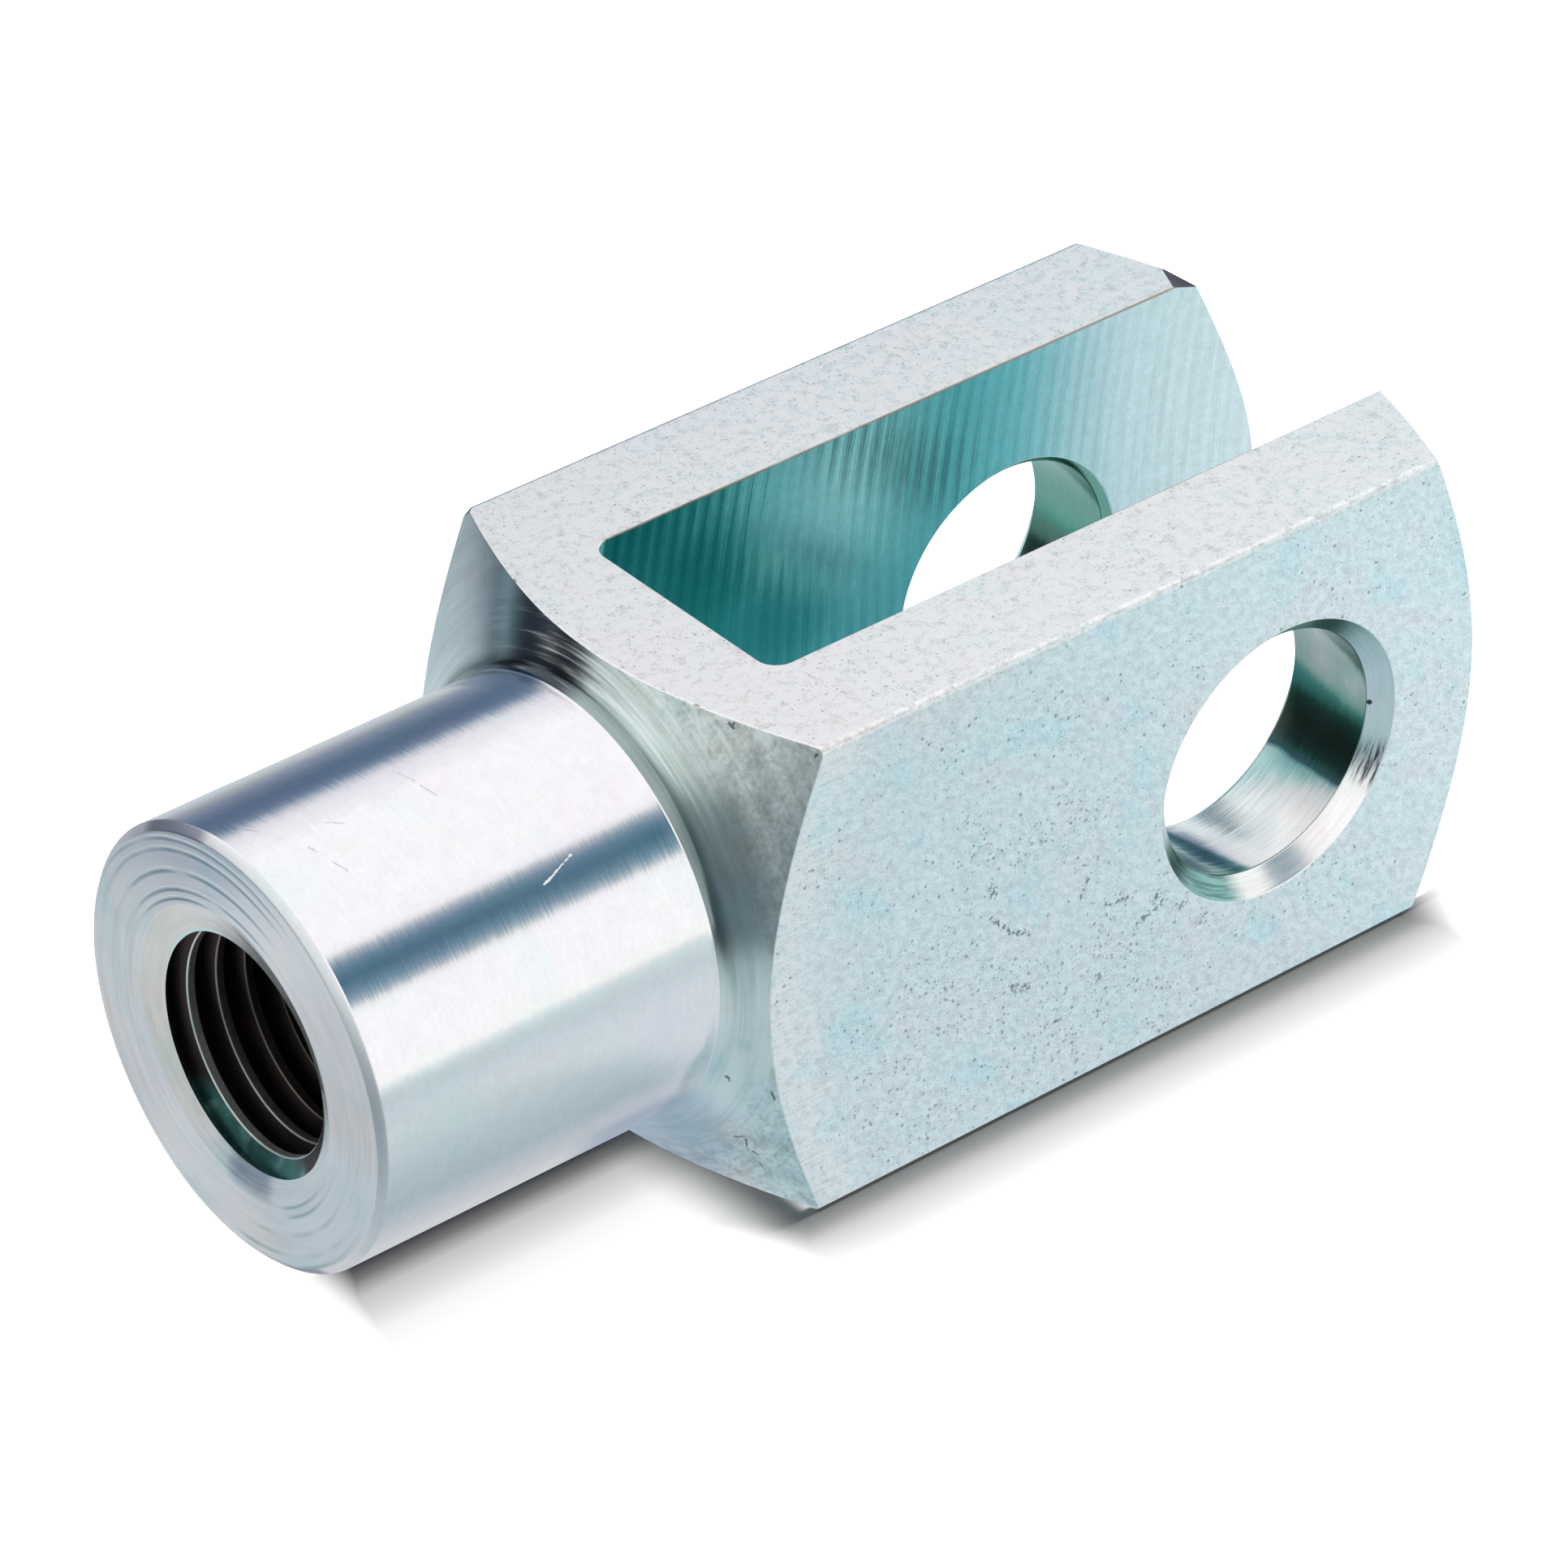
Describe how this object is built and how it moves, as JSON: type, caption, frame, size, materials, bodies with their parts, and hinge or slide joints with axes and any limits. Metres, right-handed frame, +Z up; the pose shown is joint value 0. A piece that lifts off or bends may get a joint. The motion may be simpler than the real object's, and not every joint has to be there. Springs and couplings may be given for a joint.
{
  "type": "clevis rod end",
  "caption": "Square steel fork with a cross bore for a pin through both ears and a round neck tapped for a rod.",
  "frame": {"origin": "on the pin's axis, midway between the two ears", "axes": "+X along the rod's axis from the threaded neck to the tips of the ears, +Y along the pin's axis, +Z up, with the slot open above and below"},
  "size_m": [0.105, 0.04, 0.04],
  "materials": {
    "zinc_plated_steel": "blue-passivated zinc plate over turned and milled steel"
  },
  "bodies": {
    "root": {"fork_head": "zinc_plated_steel"}
  },
  "joints": []
}
